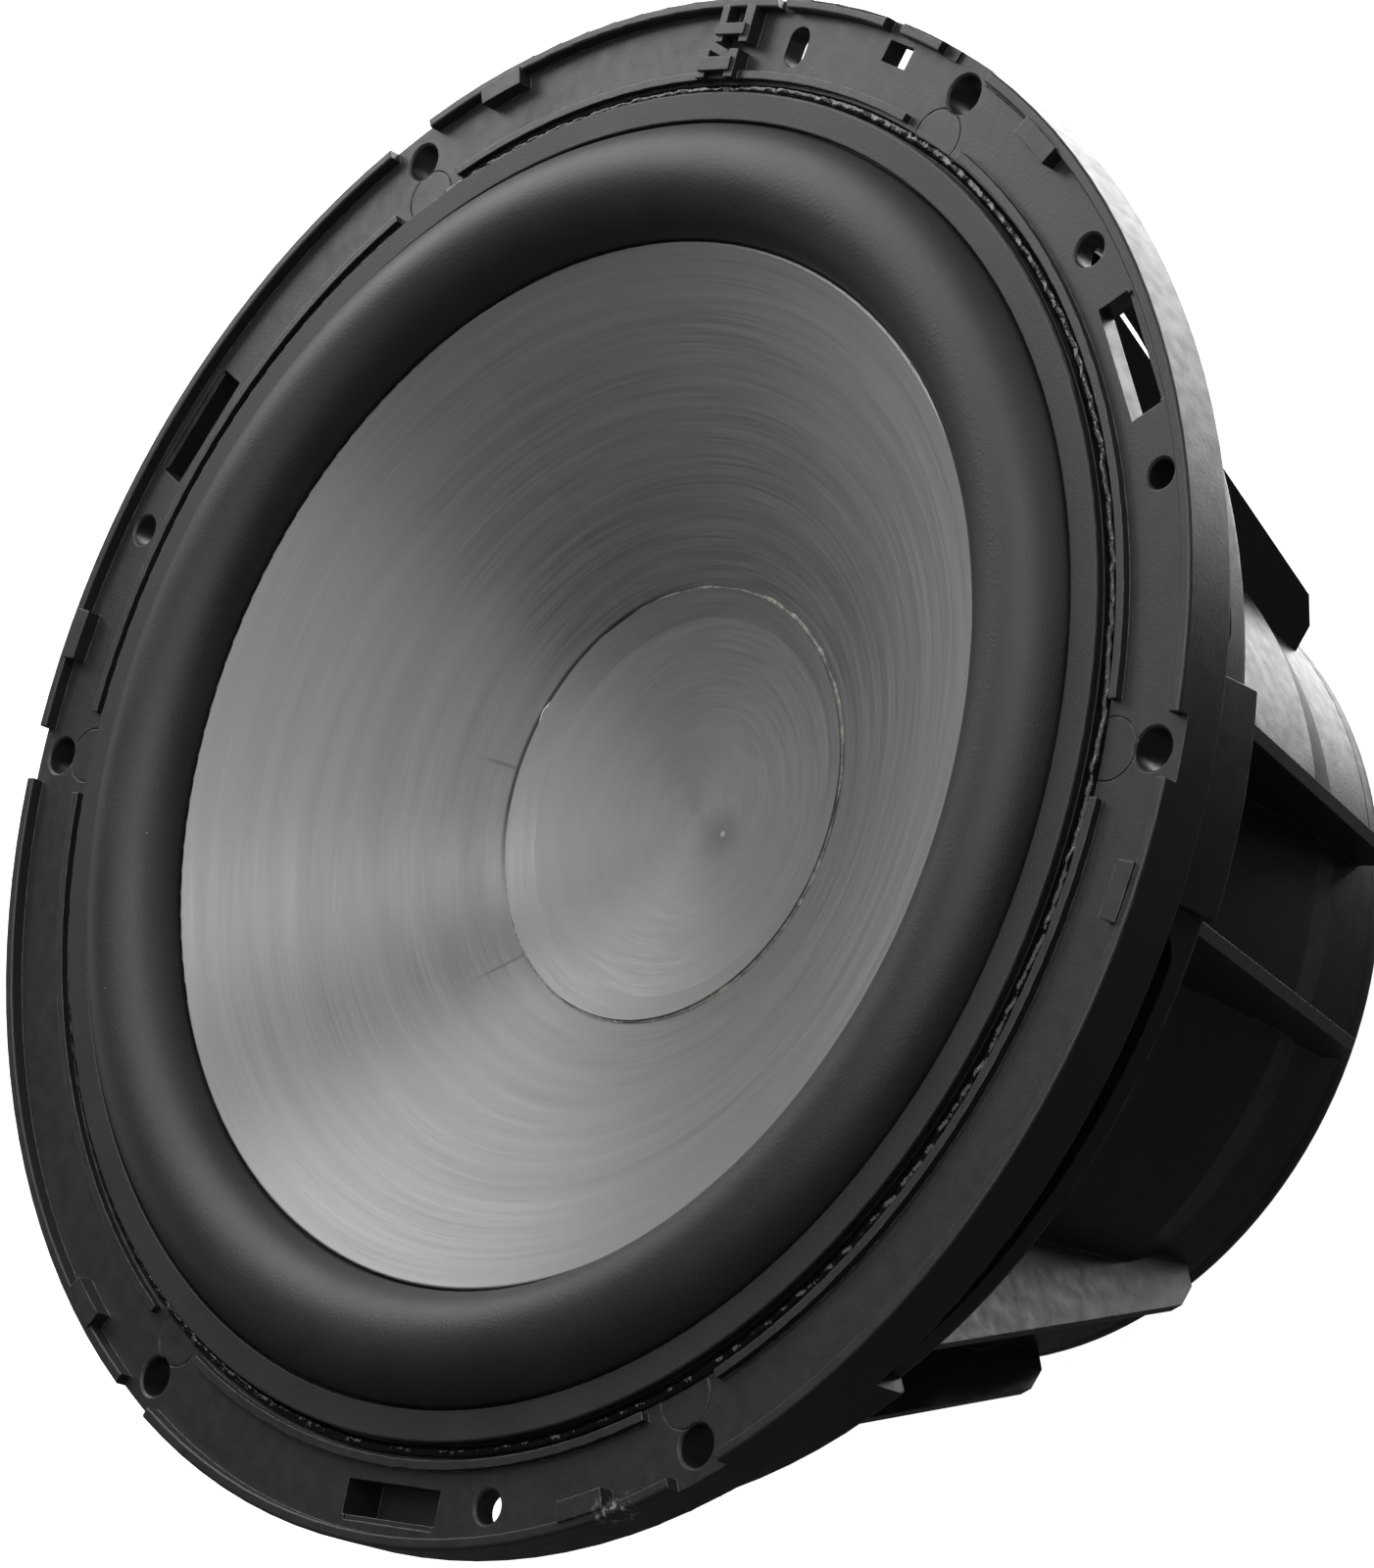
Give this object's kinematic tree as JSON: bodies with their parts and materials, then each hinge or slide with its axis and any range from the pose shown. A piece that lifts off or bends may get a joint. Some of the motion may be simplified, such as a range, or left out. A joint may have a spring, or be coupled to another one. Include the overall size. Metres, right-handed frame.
{
  "type": "car subwoofer speaker",
  "caption": "Round subwoofer driver with a ribbed moulded basket, rubber half-roll surround, shallow cone, dished dust cap and a capped magnet motor.",
  "frame": {"origin": "centre of the mounting-hole circle on the flange's front face", "axes": "+Z out of the front of the driver along the cone's axis, +X through one mounting hole"},
  "size_m": [0.2652, 0.2652, 0.1419],
  "materials": {
    "basket_polymer": "moulded, satin",
    "surround_rubber": "moulded, matte",
    "clamp_ring_rubber": "moulded, satin",
    "black_adhesive": "glossy bead",
    "clear_adhesive": "glossy bead",
    "cone_polymer": "moulded, finely turned lines",
    "cap_polymer": "moulded, finely turned lines",
    "former_aluminium": "rolled",
    "copper_winding": "enamelled wire",
    "spider_cloth": "woven, resin stiffened",
    "tinsel_braid": "braided",
    "zinc_steel": "zinc plated",
    "black_steel": "black zinc",
    "ferrite": "ground",
    "cover_polymer": "moulded, satin",
    "terminal_polymer": "moulded",
    "tinned_brass": "stamped, tinned"
  },
  "bodies": {
    "frame": {"basket": "basket_polymer", "surround": "surround_rubber", "surround_clamp_ring": "clamp_ring_rubber", "surround_adhesive": "black_adhesive", "spider": "spider_cloth", "spider_clamp_ring": "basket_polymer", "lead_positive": "tinsel_braid", "lead_negative": "tinsel_braid", "front_plate": "zinc_steel", "motor_screws": "black_steel", "front_magnet": "ferrite", "rear_magnet": "ferrite", "yoke": "zinc_steel", "shorting_ring": "former_aluminium", "rear_cover": "cover_polymer", "rear_vent_screen": "black_steel", "rear_cover_screws": "black_steel", "terminal_block": "terminal_polymer", "terminal_positive": "tinned_brass", "terminal_negative": "tinned_brass", "terminal_screws": "black_steel"},
    "cone_assembly": {"cone": "cone_polymer", "dust_cap": "cap_polymer", "cap_adhesive": "clear_adhesive", "neck_adhesive": "black_adhesive", "coil_former": "former_aluminium", "voice_coil": "copper_winding"}
  },
  "joints": [
    {"name": "cone_stroke", "type": "slide", "parent": "frame", "child": "cone_assembly", "axis": [0, 0, 1], "range_m": [-0.01, 0.01], "stiffness_N_per_m": 5000, "deforming": ["surround", "spider", "lead_positive", "lead_negative"]}
  ]
}
